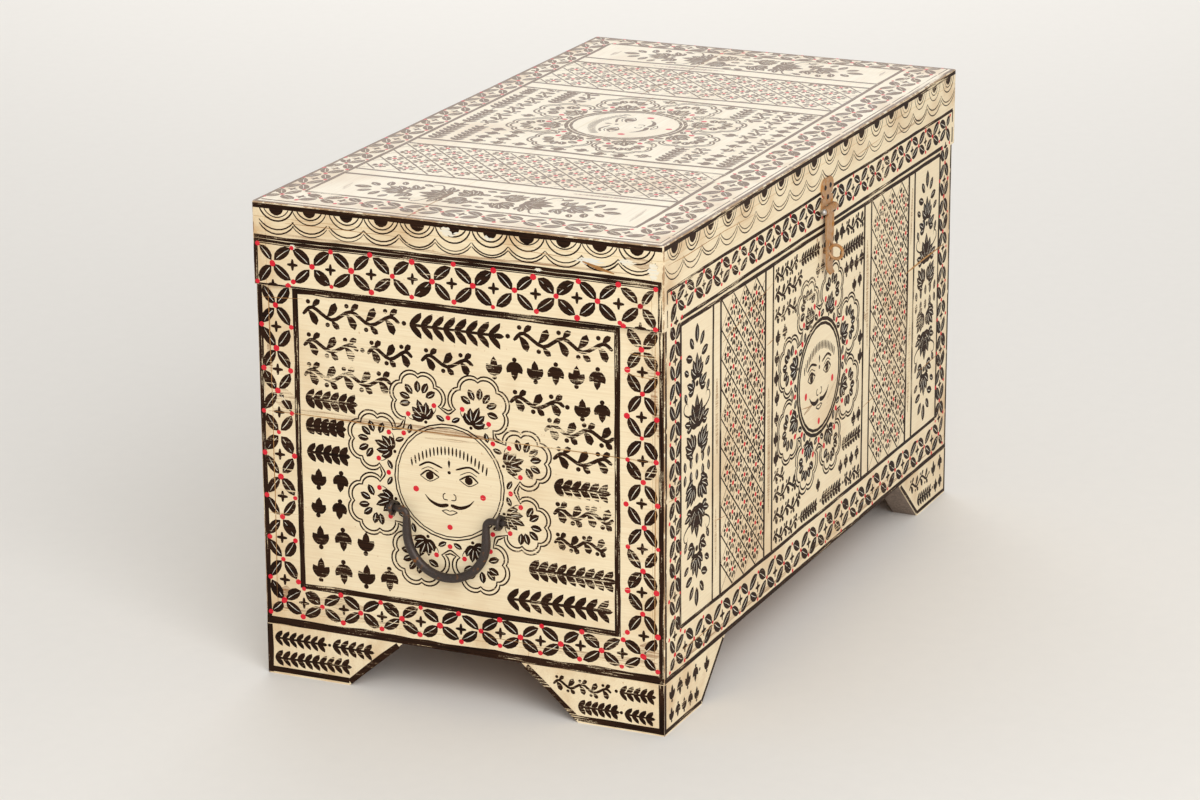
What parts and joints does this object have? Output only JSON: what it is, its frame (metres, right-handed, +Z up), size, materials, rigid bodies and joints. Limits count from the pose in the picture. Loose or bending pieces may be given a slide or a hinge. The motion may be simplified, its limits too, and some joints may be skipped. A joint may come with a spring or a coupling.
{
  "type": "painted storage chest",
  "caption": "Plank chest on bracket feet with a hinged box lid, hasp and staple, and drop handles, painted cream with black and red folk ornament.",
  "frame": {"origin": "on the floor, under the middle of the chest", "axes": "+X along the length towards the right end seen from the front, +Y to the back, +Z up"},
  "size_m": [0.6954, 0.3877, 0.4071],
  "materials": {
    "painted_wood": "worn cream paint with black, red and white brush ornament, bare wood inside",
    "forged_iron": "dark forged iron, a little rust",
    "hasp_brass": "tarnished brass with rust",
    "pin_steel": "rubbed steel rivet"
  },
  "bodies": {
    "carcass": {"back_board": "painted_wood", "bottom_nails": "forged_iron", "bottom_plank_back": "painted_wood", "bottom_plank_front": "painted_wood", "bottom_plank_middle": "painted_wood", "foot_back_left_end": "painted_wood", "foot_back_left_long": "painted_wood", "foot_back_right_end": "painted_wood", "foot_back_right_long": "painted_wood", "foot_front_left_end": "painted_wood", "foot_front_left_long": "painted_wood", "foot_front_right_end": "painted_wood", "foot_front_right_long": "painted_wood", "foot_nails": "forged_iron", "front_board": "painted_wood", "hasp_staple": "hasp_brass", "hinge_wall_nails": "forged_iron", "left_end_lower_plank": "painted_wood", "left_end_upper_plank": "painted_wood", "left_eye_back": "forged_iron", "left_eye_front": "forged_iron", "left_hinge_pin": "forged_iron", "left_hinge_wall_leaf": "forged_iron", "right_end_lower_plank": "painted_wood", "right_end_upper_plank": "painted_wood", "right_eye_back": "forged_iron", "right_eye_front": "forged_iron", "right_hinge_pin": "forged_iron", "right_hinge_wall_leaf": "forged_iron", "wall_nails": "forged_iron"},
    "lid": {"hasp_nails": "forged_iron", "hasp_pin": "pin_steel", "hasp_plate": "hasp_brass", "hinge_lid_nails": "forged_iron", "left_hinge_lid_leaf": "forged_iron", "lid_back_rail": "painted_wood", "lid_front_rail": "painted_wood", "lid_left_rail": "painted_wood", "lid_rail_nails": "forged_iron", "lid_right_rail": "painted_wood", "lid_top_back_board": "painted_wood", "lid_top_front_board": "painted_wood", "lid_top_nails": "forged_iron", "right_hinge_lid_leaf": "forged_iron"},
    "hasp": {"hasp": "hasp_brass"},
    "left_bail": {"left_bail": "forged_iron"},
    "right_bail": {"right_bail": "forged_iron"}
  },
  "joints": [
    {"name": "lid_hinge", "type": "hinge", "parent": "carcass", "child": "lid", "pos_m": [0, 0.1851, 0.3375], "axis": [-1, 0, 0], "range_deg": [0, 180]},
    {"name": "hasp_hinge", "type": "hinge", "parent": "lid", "child": "hasp", "pos_m": [0.0095, -0.1846, 0.3545], "axis": [-1, 0, 0], "range_deg": [0, 170]},
    {"name": "left_bail_hinge", "type": "hinge", "parent": "carcass", "child": "left_bail", "pos_m": [-0.3412, 0.0085, 0.164], "axis": [0, 1, 0], "range_deg": [0, 180]},
    {"name": "right_bail_hinge", "type": "hinge", "parent": "carcass", "child": "right_bail", "pos_m": [0.3412, 0.0085, 0.164], "axis": [0, -1, 0], "range_deg": [0, 180]}
  ]
}
